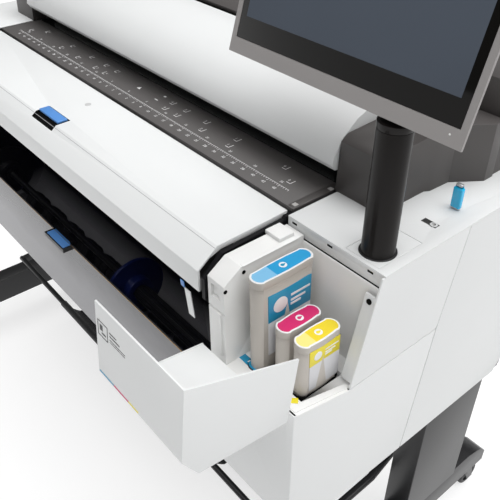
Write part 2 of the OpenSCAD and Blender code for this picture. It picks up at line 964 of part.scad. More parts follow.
// ---------------------------------------------------------------- touch screen

module screen_post() {
    color(black) {
        translate([post_x, post_y, post_foot_z + 4])
            cylinder(r = post_r, h = post_top_z - post_foot_z - 4);
        translate([post_x, post_y, post_foot_z])
            cylinder(r = post_r + 1, h = 5);
        translate([post_x, post_y, post_top_z - 1])
            cylinder(r = 10, h = 7);
    }
}

// Swivel head on the post, with an arm that rises behind the screen
module screen_neck() {
    head_z = [post_top_z + 0.3, post_top_z + 9];
    color(black)
        difference() {
            union() {
                translate([post_x, post_y, head_z[0]])
                    cylinder(r = post_r, h = head_z[1] - head_z[0]);
                difference() {
                    translate([post_x, post_y, head_z[1] - 1])
                        cylinder(r = post_r, h = 28);
                    along_x([post_x - 30, post_x + 30])
                        polygon([[-140, deck_z + 187], [-106.6, deck_z + 187], [-94, deck_z + 228], [-140, deck_z + 228]]);
                }
                along_x([post_x - 18, post_x + 18])
                    polygon([
                        [post_y + 2, head_z[0]], [post_y + 4, head_z[1]], [-84, head_z[1] + 6],
                        [tilt_pivot[0] - 6, tilt_pivot[1] - 8], [tilt_pivot[0] - 6, tilt_pivot[1]],
                        [tilt_pivot[0] + 8, tilt_pivot[1]], [-58, head_z[1] + 8], [-72, head_z[0]]
                    ]);
                bar_x(tilt_pivot, 8, [post_x - 18, post_x + 18]);
            }
            translate([post_x, post_y, head_z[0] - 1])
                cylinder(r = 10 + run_gap, h = 7.5);
            bar_x(tilt_pivot, pin_r + run_gap, [post_x - 20, post_x + 20]);
        }
}

// Places what it holds on the leaning plane of the screen: x across, y into the housing, z up the slope
module on_screen() {
    translate([screen_x, screen_foot[0], screen_foot[1]])
        rotate([-screen_lean, 0, 0])
            children();
}

module screen_housing() {
    ear_x = [post_x - 34, post_x - 19];
    color([0.45, 0.43, 0.42]) {
        on_screen()
            difference() {
                linear_extrude(screen_h)
                    polygon([
                        [-screen_w / 2, 0], [screen_w / 2, 0], [screen_w / 2, 4], [screen_w / 2 - 14, screen_t],
                        [14 - screen_w / 2, screen_t], [-screen_w / 2, 4]
                    ]);
                block(
                    [-screen_w / 2 + bezel_side, screen_w / 2 - bezel_side],
                    [-1, 3],
                    [bezel_foot, screen_h - bezel_side]
                );
            }
        for (x = [ear_x, 2 * [post_x, post_x] - [ear_x[1], ear_x[0]]])
            along_x(x)
                polygon([
                    [tilt_pivot[0] - 14, tilt_pivot[1] + 22], [tilt_pivot[0] - 26, tilt_pivot[1] - 22],
                    [tilt_pivot[0] + 7, tilt_pivot[1] - 7], [tilt_pivot[0] + 7, tilt_pivot[1] + 7]
                ]);
        bar_x(tilt_pivot, pin_r, [ear_x[0], 2 * post_x - ear_x[0]]);
    }
}

module screen_glass() {
    color([0.1, 0.11, 0.12])
        on_screen()
            block(
                [-screen_w / 2 + bezel_side + 0.3, screen_w / 2 - bezel_side - 0.3],
                [0.4, 2.9],
                [bezel_foot + 0.3, screen_h - bezel_side - 0.3]
            );
}

module power_button() {
    color(white)
        translate([button[0], button[1], deck_z - 8])
            cylinder(r = 4.5, h = 9);
}

module usb_stick() {
    color([0.1, 0.7, 0.9]) {
        block([usb[0] - 8, usb[0] + 8], [usb[1] - 4, usb[1] + 4], [deck_z + 0.5, deck_z + 42]);
        block([usb[0] - 6, usb[0] + 6], [usb[1] - 2.2, usb[1] + 2.2], [deck_z - 11, deck_z + 1]);
    }
}

// ---------------------------------------------------------------- nodes

foot_arms();
stand_legs();
leg_brace();
basket_frame();
basket_cloth();
caster_fork_front_left();
caster_fork_front_right();
caster_fork_rear_left();
caster_fork_rear_right();
caster_wheel_front_left();
caster_wheel_front_right();
caster_wheel_rear_left();
caster_wheel_rear_right();
chassis_floor();
side_plates();
rear_cover();
inlet_panel();
upper_side_panels();
rear_side_panels();
lower_panels();
left_top_cover();
right_top_cover();
post_lid();
left_ink_bay();
right_ink_bay();
left_ink_door();
right_ink_door();
cyan_cartridge();
magenta_cartridge();
yellow_cartridge();
left_cartridges();
roll_cover();
cover_latch();
roll_window();
window_latch();
lower_front_panel();
roll_bay_liner();
roll_spindle();
roll_hubs();
support_rollers();
platen();
feed_roller();
pinch_rollers();
carriage_rail();
print_carriage();
carriage_belt();
drive_pulley();
idler_pulley();
scan_tray();
scan_bar();
scan_roller();
scan_hood();
scan_end_caps();
stacker();
screen_post();
screen_neck();
screen_housing();
screen_glass();
power_button();
usb_stick();
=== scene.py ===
"""Looks of the large format plotter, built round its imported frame. Lengths are in metres."""
import json
import math

import bmesh
import bpy
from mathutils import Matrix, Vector


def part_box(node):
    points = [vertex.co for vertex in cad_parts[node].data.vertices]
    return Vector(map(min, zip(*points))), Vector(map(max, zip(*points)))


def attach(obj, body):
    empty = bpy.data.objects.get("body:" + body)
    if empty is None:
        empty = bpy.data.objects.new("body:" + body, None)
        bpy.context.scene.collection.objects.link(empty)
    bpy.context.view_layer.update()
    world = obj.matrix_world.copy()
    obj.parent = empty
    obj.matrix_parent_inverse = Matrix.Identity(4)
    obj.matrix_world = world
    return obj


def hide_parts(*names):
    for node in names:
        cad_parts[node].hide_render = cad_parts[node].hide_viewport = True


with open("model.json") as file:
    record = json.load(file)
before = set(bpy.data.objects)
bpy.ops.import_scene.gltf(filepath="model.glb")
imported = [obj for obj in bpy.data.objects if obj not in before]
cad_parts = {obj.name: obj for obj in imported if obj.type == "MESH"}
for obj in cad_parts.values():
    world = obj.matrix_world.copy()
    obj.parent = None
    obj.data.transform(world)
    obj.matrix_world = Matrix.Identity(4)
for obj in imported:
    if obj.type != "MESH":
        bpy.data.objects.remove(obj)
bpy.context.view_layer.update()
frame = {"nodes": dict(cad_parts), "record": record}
nodes = frame["nodes"]


# ---------------------------------------------------------------- shader maths

class Wire:
    """The output of a shader node. Sums written on it add Math nodes."""

    def __init__(self, finish, socket):
        self.finish = finish
        self.socket = socket

    def _sum(self, operation, first, second):
        return self.finish.node("ShaderNodeMath", {"operation": operation}, {0: first, 1: second})

    def __add__(self, other):
        return self._sum("ADD", self, other)

    def __sub__(self, other):
        return self._sum("SUBTRACT", self, other)

    def __rsub__(self, other):
        return self._sum("SUBTRACT", other, self)

    def __mul__(self, other):
        return self._sum("MULTIPLY", self, other)

    def __lt__(self, other):
        return self._sum("LESS_THAN", self, other)

    __radd__ = __add__
    __rmul__ = __mul__


class Finish:
    """A material made of nodes round one principled shader."""

    def __init__(self, name, **constants):
        self.material = bpy.data.materials.new(name)
        self.material.use_nodes = True
        self.tree = self.material.node_tree
        self.shader = self.tree.nodes["Principled BSDF"]
        for words, value in constants.items():
            self.shader.inputs[words.replace("_", " ")].default_value = value
        self.place = self.node("ShaderNodeTexCoord", output="Object")

    def node(self, kind, settings=None, inputs=None, output=0):
        made = self.tree.nodes.new(kind)
        for key, value in (settings or {}).items():
            setattr(made, key, value)
        for key, value in (inputs or {}).items():
            self.feed(made.inputs[key], value)
        return Wire(self, made.outputs[output])

    def feed(self, socket, value):
        if isinstance(value, Wire):
            self.tree.links.new(value.socket, socket)
        else:
            socket.default_value = value

    def stretched(self, scale):
        """Object coordinates, stretched along each axis"""
        return self.node("ShaderNodeMapping", {}, {"Vector": self.place, "Scale": scale})

    def noise(self, scale, detail=2.0, stretch=None):
        where = self.stretched(stretch) if stretch else self.place
        return self.node("ShaderNodeTexNoise", {}, {"Vector": where, "Scale": scale, "Detail": detail})

    def axis(self, letter, where=None):
        return self.node("ShaderNodeSeparateXYZ", {}, {0: where or self.place}, output=letter)

    def clamped(self, value, gain):
        """The value times its gain, held between 0 and 1"""
        return self.node("ShaderNodeMath", {"operation": "MULTIPLY", "use_clamp": True}, {0: value, 1: gain})

    def mix(self, factor, first, second):
        return self.node(
            "ShaderNodeMix", {"data_type": "RGBA"}, {0: factor, 6: solid(first), 7: solid(second)}, output=2
        )

    def colour(self, value):
        self.feed(self.shader.inputs["Base Color"], value)

    def roughness(self, value):
        self.feed(self.shader.inputs["Roughness"], value)

    def bump(self, height, strength, distance=0.0002):
        settings = {"Strength": strength, "Distance": distance, "Height": height}
        normal = self.node("ShaderNodeBump", {}, settings, output="Normal")
        self.feed(self.shader.inputs["Normal"], normal)


def solid(value):
    """A colour of three numbers, with its alpha added"""
    return (*value, 1.0) if isinstance(value, tuple) and len(value) == 3 else value


def shade(colour, share):
    return tuple(channel * share for channel in colour)


def moulded(name, colour, rough=0.42, grain=0.12, tone=0.04, **constants):
    """Moulded plastic: a fine spark texture, and slow changes of tone and gloss."""
    finish = Finish(name, **constants)
    spark = finish.noise(1400.0, 3.0)
    slow = finish.noise(5.0, 3.0)
    finish.colour(finish.mix(slow * 0.7 + spark * 0.3, shade(colour, 1 - tone), shade(colour, 1 + tone)))
    finish.roughness(rough + (slow - 0.5) * 0.08 + (spark - 0.5) * 0.10)
    finish.bump(spark, grain)
    return finish.material


def painted(name, colour, rough=0.35, peel=0.10, **constants):
    """Sprayed paint on metal, with a slight orange peel."""
    finish = Finish(name, **constants)
    skin = finish.noise(420.0, 2.0)
    slow = finish.noise(4.0, 2.0)
    finish.colour(finish.mix(slow, shade(colour, 0.88), shade(colour, 1.12)))
    finish.roughness(rough + (slow - 0.5) * 0.08)
    finish.bump(skin, peel, 0.0003)
    return finish.material


def rolled(name, colour, rough=0.32, along=(4.0, 900.0, 900.0)):
    """Ground or rolled metal, with fine lines along one way."""
    finish = Finish(name, Metallic=1.0)
    lines = finish.noise(1.0, 3.0, along)
    finish.colour(finish.mix(lines, shade(colour, 0.82), colour))
    finish.roughness(rough + (lines - 0.5) * 0.22)
    finish.bump(lines, 0.15, 0.0001)
    return finish.material


def rubbery(name, colour, rough=0.7):
    finish = Finish(name)
    pores = finish.noise(900.0, 4.0)
    slow = finish.noise(20.0, 2.0)
    finish.colour(finish.mix(slow, shade(colour, 0.75), shade(colour, 1.3)))
    finish.roughness(rough + (pores - 0.5) * 0.2)
    finish.bump(pores, 0.25)
    return finish.material


def clear(name, colour, alpha, rough=0.06, **constants):
    """Tinted clear plastic with faint flow lines from its mould."""
    finish = Finish(name, Alpha=alpha, **constants)
    flow = finish.noise(3.0, 3.0, (0.6, 4.0, 4.0))
    finish.colour(finish.mix(flow, shade(colour, 0.8), shade(colour, 1.25)))
    finish.roughness(rough + flow * 0.05)
    finish.bump(flow, 0.02, 0.002)
    return finish.material


def woven(name, colour):
    """Plain weave, as crossing threads half a millimetre apart."""
    finish = Finish(name, Sheen_Weight=0.25)
    uv = finish.node("ShaderNodeUVMap")
    across = finish.node("ShaderNodeMath", {"operation": "SINE"}, {0: finish.axis("X", uv) * 9000.0})
    along = finish.node("ShaderNodeMath", {"operation": "SINE"}, {0: finish.axis("Y", uv) * 9000.0})
    threads = across * along
    slow = finish.noise(14.0, 3.0)
    finish.colour(finish.mix(slow * 0.6 + threads * 0.2, shade(colour, 0.6), shade(colour, 1.6)))
    finish.roughness(0.82 + threads * 0.06)
    finish.bump(threads, 0.4)
    return finish.material


def printed_top(name, colour, pale, border_y):
    """Coloured top label whose front part is paler."""
    finish = Finish(name)
    grain = finish.noise(600.0, 2.0)
    front = finish.axis("Y") < border_y
    finish.colour(finish.mix(front, finish.mix(grain, shade(colour, 0.93), colour), pale))
    finish.roughness(0.3 + grain * 0.1)
    finish.bump(grain, 0.05)
    return finish.material


def display(name):
    """Dark panel with a faint, bluish painted glow that grows towards its top, standing for light from
    above.
    """
    finish = Finish(name, Roughness=0.12)
    height = finish.axis("Z")
    glow = finish.noise(6.0, 1.0)
    finish.colour(finish.mix(glow, (0.035, 0.04, 0.05), (0.05, 0.06, 0.075)))
    # painted glow: emission that brightens towards the top
    painted_top_glow = finish.mix(height * 2.0 - 2.2, (0.06, 0.07, 0.09), (0.16, 0.2, 0.26))
    finish.feed(finish.shader.inputs["Emission Color"], painted_top_glow)
    finish.shader.inputs["Emission Strength"].default_value = 0.35
    return finish.material


def clouded(name):
    """Smoked sheet with painted shade that darkens it towards its top, and cloudy painted tones of what lies
    behind it.
    """
    finish = Finish(name, Alpha=0.95)
    cloud = finish.noise(5.0, 3.0, (1.0, 2.0, 2.0))
    # painted shade: near black at the top, turning grey lower down
    low = 0.665 - finish.axis("Z") + cloud * 0.09
    fade = finish.clamped(low, 8.0)
    finish.colour(finish.mix(fade, (0.03, 0.03, 0.034), (0.22, 0.22, 0.235)))
    finish.roughness(0.12 + cloud * 0.06)
    finish.bump(cloud, 0.02, 0.002)
    return finish.material


def lining(name):
    """Sheet with painted shade: near black high up, where the cover shades it, turning to grey towards its
    foot, with a faint painted glow.
    """
    finish = Finish(name, Specular_IOR_Level=0.2)
    height = finish.axis("Z")
    grain = finish.noise(30.0, 2.0)
    # painted shade: black high up, where the cover shades the bay
    foot = finish.clamped(0.57 - height, 8.0)
    grey = finish.mix(grain, (0.46, 0.455, 0.48), (0.54, 0.535, 0.57))
    colour = finish.mix(foot, (0.004, 0.004, 0.005), grey)
    finish.colour(colour)
    # painted glow: the colour is also given off as faint light, to brighten the dim bay
    finish.feed(finish.shader.inputs["Emission Color"], colour)
    finish.shader.inputs["Emission Strength"].default_value = 0.08
    finish.roughness(0.5 + grain * 0.1)
    finish.bump(grain, 0.05)
    return finish.material


WHITE = moulded("white_housing", (0.73, 0.74, 0.74), rough=0.42, Specular_IOR_Level=0.3)
BAY_WHITE = moulded("bay_white", (0.79, 0.79, 0.78), rough=0.48, Specular_IOR_Level=0.3)
ROLLER_WHITE = moulded("roller_white", (0.75, 0.75, 0.73), rough=0.35)
TRAY_GREY = moulded("tray_grey", (0.098, 0.092, 0.090), rough=0.40, grain=0.2)
CAP_GREY = moulded("cap_grey", (0.070, 0.064, 0.062), rough=0.42, grain=0.2)
BEZEL_GREY = moulded("bezel_grey", (0.30, 0.285, 0.28), rough=0.45, grain=0.3)
BLACK_PLASTIC = moulded("black_plastic", (0.010, 0.010, 0.011), rough=0.38)
# near black used as painted shade in holes, gaps, notches and recesses
SHADE_BLACK = moulded("painted_shade_black", (0.003, 0.003, 0.003), rough=0.8, grain=0.03, Specular_IOR_Level=0.1)
SATIN_BLACK = painted("stand_black", (0.012, 0.012, 0.013), rough=0.38)
POST_PAINT = painted("post_brown_black", (0.006, 0.0045, 0.004), rough=0.24, Specular_IOR_Level=0.22)
LATCH_BLUE = moulded("latch_blue", (0.09, 0.26, 0.62), rough=0.38)
HUB_NAVY = moulded("hub_navy", (0.010, 0.020, 0.13), rough=0.28)
INK_BODY = moulded("ink_body_beige", (0.50, 0.465, 0.425), rough=0.40)
LABEL_CYAN = moulded("label_cyan", (0.01, 0.27, 0.47), rough=0.35, grain=0.02, tone=0.02)
LABEL_YELLOW = moulded("label_yellow", (0.78, 0.66, 0.03), rough=0.35, grain=0.02, tone=0.02)
LABEL_MAGENTA = moulded("label_magenta", (0.60, 0.02, 0.14), rough=0.35, grain=0.02, tone=0.02)
LABEL_BLANK = moulded("label_blank", (0.62, 0.62, 0.64), rough=0.45, grain=0.02, tone=0.02)
MARK_WHITE = moulded("mark_white", (0.78, 0.78, 0.78), rough=0.5, grain=0.02)
MARK_GREY = moulded("mark_grey", (0.42, 0.41, 0.40), rough=0.5, grain=0.02)
MARK_PALE = moulded("mark_pale", (0.52, 0.52, 0.52), rough=0.4, grain=0.02)
MARK_BLACK = moulded("mark_black", (0.03, 0.03, 0.03), rough=0.5, grain=0.02)
SEAM_GREY = moulded("seam_grey", (0.33, 0.33, 0.34), rough=0.6, grain=0.05)
# painted highlight: bronze metal standing for the bright reflection line along the window's foot
HIGHLIGHT_STRIP = rolled("painted_highlight_strip", (0.45, 0.27, 0.10), rough=0.3)
STEEL = rolled("ground_steel", (0.60, 0.61, 0.62))
CHASSIS = painted("chassis_paint", (0.30, 0.30, 0.32), rough=0.45)
RUBBER = rubbery("roller_rubber", (0.012, 0.012, 0.013))
TREAD = rubbery("caster_tread", (0.035, 0.035, 0.037), rough=0.6)
BELT = rubbery("belt_rubber", (0.02, 0.02, 0.02))
SMOKED = clear("smoked_window", (0.002, 0.002, 0.004), 0.17, rough=0.12, Specular_IOR_Level=0.0)
SMOKED_PANEL_PAINTED_SHADE = clouded("panel_smoked")
STRIP_GLASS = clear("scan_glass", (0.02, 0.025, 0.025), 0.8)
SCREEN_BLACK = moulded(
    "screen_black", (0.006, 0.0055, 0.005), rough=0.08, grain=0.0, tone=0.2, Specular_IOR_Level=0.15
)
DISPLAY = display("screen_display")
STICK_BLUE = moulded("stick_blue", (0.0, 0.50, 0.86), rough=0.15, grain=0.0, Coat_Weight=0.6)
CLOTH = woven("basket_cloth", (0.012, 0.012, 0.013))
LINING_PAINTED_SHADE_GLOW = lining("bay_lining")


# ---------------------------------------------------------------- modelling tools

def only(piece):
    """Leaves one piece selected and active."""
    bpy.ops.object.select_all(action="DESELECT")
    piece.select_set(True)
    bpy.context.view_layer.objects.active = piece


class Editing:
    """Edit mode on a piece, starting with nothing selected."""

    def __init__(self, piece, kind="FACE"):
        self.piece = piece
        self.kind = kind

    def __enter__(self):
        only(self.piece)
        bpy.ops.object.mode_set(mode="EDIT")
        bpy.ops.mesh.select_mode(type=self.kind)
        bpy.ops.mesh.select_all(action="DESELECT")
        return self

    def __exit__(self, *error):
        bpy.ops.object.mode_set(mode="OBJECT")

    def pick_faces(self, test):
        bpy.ops.mesh.select_all(action="DESELECT")
        mesh = bmesh.from_edit_mesh(self.piece.data)
        for face in mesh.faces:
            if test(face.calc_center_median(), face.normal):
                face.select_set(True)
        bmesh.update_edit_mesh(self.piece.data)

    def pick_edges(self, test):
        bpy.ops.mesh.select_all(action="DESELECT")
        mesh = bmesh.from_edit_mesh(self.piece.data)
        for edge in mesh.edges:
            first, last = (corner.co for corner in edge.verts)
            if test((first + last) / 2, (last - first).normalized()):
                edge.select_set(True)
        bmesh.update_edit_mesh(self.piece.data)


def modified(piece, kind, **settings):
    """Adds a modifier and applies it."""
    only(piece)
    made = piece.modifiers.new(kind.title(), kind)
    for key, value in settings.items():
        setattr(made, key, value)
    bpy.ops.object.modifier_apply(modifier=made.name)
    return piece


def smooth(piece, angle=35):
    only(piece)
    bpy.ops.object.shade_smooth_by_angle(angle=math.radians(angle))
    return piece


def done(piece, finish, body="frame", stands_for=()):
    """Places a piece in its own mesh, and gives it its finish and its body."""
    only(piece)
    bpy.ops.object.transform_apply(location=True, rotation=True, scale=True)
    if finish:
        piece.data.materials.clear()
        piece.data.materials.append(finish)
    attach(piece, body)
    if stands_for:
        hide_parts(*stands_for)
    return piece


def paint(piece, finish, test):
    """Gives a second finish to the faces that lie wholly where the test says."""
    piece.data.materials.append(finish)
    index = len(piece.data.materials) - 1
    for face in piece.data.polygons:
        if all(test(piece.data.vertices[corner].co) for corner in face.vertices):
            face.material_index = index
    return piece


def inside(low, high):
    """A test for points within a box"""
    return lambda point: all(low[i] <= point[i] <= high[i] for i in range(3))


def block(name, low, high, edge=0.0005, segments=2):
    """Block between two corners, with rounded edges."""
    low, high = Vector(low), Vector(high)
    bpy.ops.object.select_all(action="DESELECT")
    bpy.ops.mesh.primitive_cube_add(size=1, location=(low + high) / 2, scale=high - low)
    piece = bpy.context.object
    piece.name = name
    only(piece)
    bpy.ops.object.transform_apply(location=True, rotation=True, scale=True)
    with Editing(piece, "EDGE"):
        bpy.ops.mesh.select_all(action="SELECT")
        bpy.ops.mesh.bevel(offset=edge, segments=segments, affect="EDGES")
    return smooth(piece)


TURNS = {"X": (0, math.pi / 2, 0), "Y": (math.pi / 2, 0, 0), "Z": (0, 0, 0)}


def disc(name, centre, radius, thickness, along="Z", edge=0.0005, sides=48):
    """Round piece along one axis, with its rims rounded."""
    bpy.ops.object.select_all(action="DESELECT")
    bpy.ops.mesh.primitive_cylinder_add(
        vertices=sides, radius=radius, depth=thickness, location=centre, rotation=TURNS[along]
    )
    piece = bpy.context.object
    piece.name = name
    only(piece)
    bpy.ops.object.transform_apply(location=True, rotation=True, scale=True)
    way = Vector([letter == along for letter in "XYZ"])
    with Editing(piece, "EDGE") as edit:
        edit.pick_edges(lambda middle, run: abs(run @ way) < 0.1)
        bpy.ops.mesh.bevel(offset=edge, segments=3, affect="EDGES")
    return smooth(piece)


def outlined(name, points, push):
    """Draws an outline point by point, fills it and pushes it out."""
    points = [Vector(point) for point in points]
    bpy.ops.object.select_all(action="DESELECT")
    bpy.ops.mesh.primitive_plane_add(size=0.001, location=(0, 0, 0))
    piece = bpy.context.object
    piece.name = name
    with Editing(piece, "VERT"):
        bpy.ops.mesh.select_all(action="SELECT")
        bpy.ops.mesh.merge(type="CENTER")
        bpy.ops.transform.translate(value=points[0])
        for last, point in zip(points, points[1:]):
            bpy.ops.mesh.extrude_vertices_move(TRANSFORM_OT_translate={"value": point - last})
        bpy.ops.mesh.select_all(action="SELECT")
        bpy.ops.mesh.edge_face_add()
        bpy.ops.mesh.extrude_region_move(TRANSFORM_OT_translate={"value": push})
        bpy.ops.mesh.select_all(action="SELECT")
        bpy.ops.mesh.normals_make_consistent(inside=False)
    return piece


def joined(name, pieces):
    """Several loose bits made one piece."""
    bpy.ops.object.select_all(action="DESELECT")
    for piece in pieces:
        piece.select_set(True)
    bpy.context.view_layer.objects.active = pieces[0]
    bpy.ops.object.join()
    piece = bpy.context.object
    piece.name = name
    return piece


def body_of(node):
    """The body that a node moves with"""
    bodies = frame["record"]["behaviour"]["bodies"]
    return next(body for body, members in bodies.items() if node in members)


def softened(node, edge, finish, segments=2, angle=32, name=None):
    """A copy of a CAD node with its flat faces made whole and its edges rounded, which stands for it."""
    piece = bpy.data.objects.new(name or node + "_shell", nodes[node].data.copy())
    bpy.context.scene.collection.objects.link(piece)
    with Editing(piece, "VERT"):
        bpy.ops.mesh.select_all(action="SELECT")
        bpy.ops.mesh.remove_doubles(threshold=0.00002)
        bpy.ops.mesh.dissolve_limited(angle_limit=math.radians(0.6))
    piece.data.materials.clear()
    modified(
        piece, "BEVEL", width=edge, segments=segments, limit_method="ANGLE", angle_limit=math.radians(angle),
        use_clamp_overlap=True, harden_normals=False, miter_outer="MITER_ARC",
    )
    smooth(piece, angle)
    return done(piece, finish, body_of(node), [node])


def finished(node, finish):
    """Gives a CAD node, whose shape is right, its material."""
    data = nodes[node].data
    data.materials.clear()
    data.materials.append(finish)


# ---------------------------------------------------------------- camera, floor and light

def make_stage():
    camera = bpy.data.cameras.new("camera")
    camera.lens = 48.04
    camera.sensor_width = 36
    camera.clip_end = 60
    holder = bpy.data.objects.new("camera", camera)
    holder.location = (1.0929, -0.6885, 1.4872)
    holder.rotation_euler = (math.radians(53.16), 0, math.radians(50.11))
    bpy.context.scene.collection.objects.link(holder)
    bpy.context.scene.camera = holder

    bpy.ops.mesh.primitive_plane_add(size=40, location=(0, 0, 0))
    floor = bpy.context.object
    floor.name = "studio_floor"
    paper = Finish("studio_paper", Roughness=0.9, Emission_Strength=0.66, Emission_Color=(1, 1, 1, 1))
    paper.colour(paper.mix(paper.noise(2.0), (0.37, 0.37, 0.37), (0.39, 0.39, 0.39)))
    floor.data.materials.append(paper.material)

    world = bpy.data.worlds.new("studio")
    world.use_nodes = True
    world.node_tree.nodes["Background"].inputs["Color"].default_value = (1.0, 1.0, 1.0, 1)
    world.node_tree.nodes["Background"].inputs["Strength"].default_value = 0.12
    bpy.context.scene.world = world

    for name, place, size, power in [
        ("top_softbox", (1.6, 1.4, 5.2), 3.6, 60),
        ("right_softbox", (4.6, 0.6, 2.6), 2.2, 18),
    ]:
        light = bpy.data.lights.new(name, "AREA")
        light.size = size
        light.energy = power
        lamp = bpy.data.objects.new(name, light)
        lamp.location = place
        lamp.rotation_euler = (Vector(place) - Vector((0.2, 0, 0.8))).to_track_quat("Z", "Y").to_euler()
        bpy.context.scene.collection.objects.link(lamp)
    sun = bpy.data.lights.new("overhead_bank", "SUN")
    sun.angle = math.radians(80)
    sun.energy = 3.15
    bank = bpy.data.objects.new("overhead_bank", sun)
    bank.rotation_euler = Vector((0.14, -0.01, 1)).to_track_quat("Z", "Y").to_euler()
    bpy.context.scene.collection.objects.link(bank)
    bpy.context.scene.view_settings.view_transform = "Standard"


# ---------------------------------------------------------------- stand and basket

def make_stand():
    softened("foot_arms", 0.007, SATIN_BLACK, 3)
    softened("stand_legs", 0.005, SATIN_BLACK, 3)
    softened("leg_brace", 0.003, SATIN_BLACK, 3)
    softened("basket_frame", 0.0015, SATIN_BLACK)


def make_caster(side, end):
    """One caster: a hooded fork and a wheel with a tread and a dished hub."""
    label = f"{end}_{side}"
    low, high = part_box("caster_wheel_" + label)
    centre = (low + high) / 2
    radius = (high.z - low.z) / 2
    width = high.x - low.x
    softened("caster_fork_" + label, 0.0008, BLACK_PLASTIC)
    wheel = disc("caster_tread_" + label, centre, radius, width, "X", edge=0.005, sides=64)
    with Editing(wheel) as edit:
        edit.pick_faces(lambda middle, normal: abs(normal.x) > 0.99)
        bpy.ops.mesh.inset(thickness=0.006)
        bpy.ops.mesh.inset(thickness=0.001, depth=-0.004)
        bpy.ops.mesh.inset(thickness=0.012)
        bpy.ops.mesh.inset(thickness=0.001, depth=0.0035)
    smooth(wheel)
    done(wheel, TREAD, "wheel_" + label, ["caster_wheel_" + label])
    paint(wheel, BLACK_PLASTIC, lambda point: (point - centre).yz.length < radius - 0.0062)


def make_basket():
    """Cloth hung between the two tubes, with a sleeve at each end."""
    low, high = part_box("basket_cloth")
    half = high.x - 0.004
    tube_y, tube_z = -0.1795, 0.230
    back_y, back_z = 0.148, 0.461
    across, along = 72, 44
    run = math.hypot(back_y - tube_y, back_z - tube_z)
    bpy.ops.object.select_all(action="DESELECT")
    bpy.ops.mesh.primitive_grid_add(x_subdivisions=across, y_subdivisions=along, size=1, location=(0, 0, 0))
    cloth = bpy.context.object
    cloth.name = "basket_sling"
    for corner in cloth.data.vertices:
        share = corner.co.y + 0.5
        sag = math.sin(math.pi * share) * run * 0.52
        corner.co = (
            corner.co.x * 2 * half,
            tube_y + 0.004 + (back_y - tube_y - 0.004) * share + 0.4 * sag * (0.5 - share),
            tube_z - 0.009 + (back_z - tube_z + 0.009) * share - sag * (0.9 if share < 0.5 else 0.8),
        )
    group = cloth.vertex_groups.new(name="held")
    for corner in cloth.data.vertices:
        row = corner.index // (across + 1)
        if row in (0, along):
            group.add([corner.index], 1.0, "REPLACE")
    only(cloth)
    sim = cloth.modifiers.new("Cloth", "CLOTH")
    sim.settings.vertex_group_mass = "held"
    sim.settings.quality = 5
    sim.settings.mass = 0.4
    sim.settings.tension_stiffness = 60
    sim.settings.compression_stiffness = 60
    sim.settings.bending_stiffness = 2.0
    sim.settings.air_damping = 6
    for step in range(1, 26):
        bpy.context.scene.frame_set(step)
    bpy.ops.object.modifier_apply(modifier="Cloth")
    floor_z = low.z + 0.002
    for corner in cloth.data.vertices:
        corner.co.z = max(corner.co.z, floor_z + 0.004 * math.sin(31 * corner.co.x) ** 2)
    edge = [cloth.data.vertices[row * (across + 1)].co for row in range(along + 1)]
    length = sum((after - before).length for before, after in zip(edge, edge[1:]))
    uv = cloth.data.uv_layers.active.data
    for loop in cloth.data.loops:
        row, column = divmod(loop.vertex_index, across + 1)
        uv[loop.index].uv = (column / across * 2 * half, row / along * length)
    modified(cloth, "SOLIDIFY", thickness=0.0012, offset=0)
    smooth(cloth, 60)
    done(cloth, CLOTH, "frame", ["basket_cloth"])

    for name, y, z, radius, reach in [
        ("basket_front_sleeve", tube_y, tube_z, 0.0092, half),
        ("basket_back_sleeve", 0.150, 0.470, 0.0092, half),
    ]:
        sleeve = disc(name, (0, y, z), radius, 2 * reach, "X", edge=0.0015, sides=32)
        with Editing(sleeve) as edit:
            edit.pick_faces(lambda middle, normal: abs(normal.x) > 0.99)
            bpy.ops.mesh.inset(thickness=0.0012)
            bpy.ops.mesh.delete(type="FACE")
        done(sleeve, CLOTH, "frame")


# ---------------------------------------------------------------- body

def make_housing():
    for node, edge, finish in [
        ("rear_cover", 0.0008, WHITE), ("inlet_panel", 0.0008, BLACK_PLASTIC),
        ("upper_side_panels", 0.0012, WHITE), ("rear_side_panels", 0.0012, WHITE),
        ("lower_panels", 0.0016, WHITE),
        ("left_top_cover", 0.0014, WHITE), ("right_top_cover", 0.0014, WHITE),
        ("post_lid", 0.0006, WHITE),
    ]:
        softened(node, edge, finish, 3)
    for node, finish in [
        # the side plates and roll bay liner take the lining with its painted shade and glow
        ("chassis_floor", CHASSIS), ("side_plates", LINING_PAINTED_SHADE_GLOW), ("roll_bay_liner", LINING_PAINTED_SHADE_GLOW),
        ("platen", BLACK_PLASTIC), ("feed_roller", STEEL), ("carriage_rail", STEEL), ("carriage_belt", BELT),
        ("drive_pulley", STEEL), ("idler_pulley", STEEL), ("pinch_rollers", RUBBER),
    ]:
        finished(node, finish)
    softened("print_carriage", 0.003, BLACK_PLASTIC, 3)


